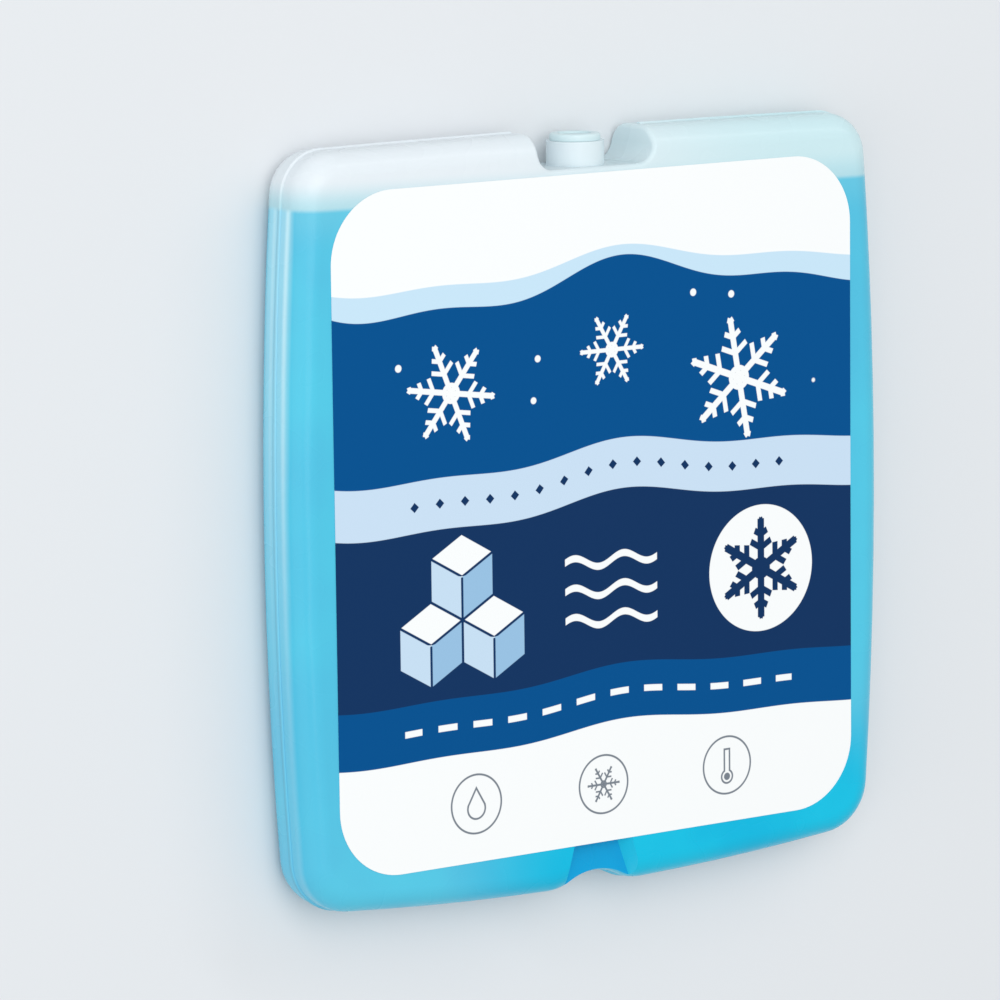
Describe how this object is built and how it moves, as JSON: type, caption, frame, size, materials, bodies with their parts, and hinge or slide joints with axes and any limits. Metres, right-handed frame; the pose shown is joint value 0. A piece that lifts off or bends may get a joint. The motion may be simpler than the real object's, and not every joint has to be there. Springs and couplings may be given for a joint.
{
  "type": "reusable ice pack",
  "caption": "Slim square freezer pack for lunch bags: translucent blow-moulded shell with blue gel, filler plug and printed front label",
  "frame": {"origin": "middle of the pack on the surface it lies on", "axes": "+X across the pack from the label's left to its right, +Y up the label towards the filler plug, +Z out of the front face with the label"},
  "size_m": [0.1214, 0.1294, 0.0131],
  "materials": {
    "shell_plastic": "thin translucent polyethylene, satin, milky",
    "coolant": "frozen blue gel seen through the shell",
    "plug_plastic": "natural polyethylene, satin",
    "label_film": "printed satin film, white and blue fields"
  },
  "bodies": {
    "root": {"shell": "shell_plastic", "gel": "coolant", "filler_plug": "plug_plastic", "front_label": "label_film"}
  },
  "joints": []
}
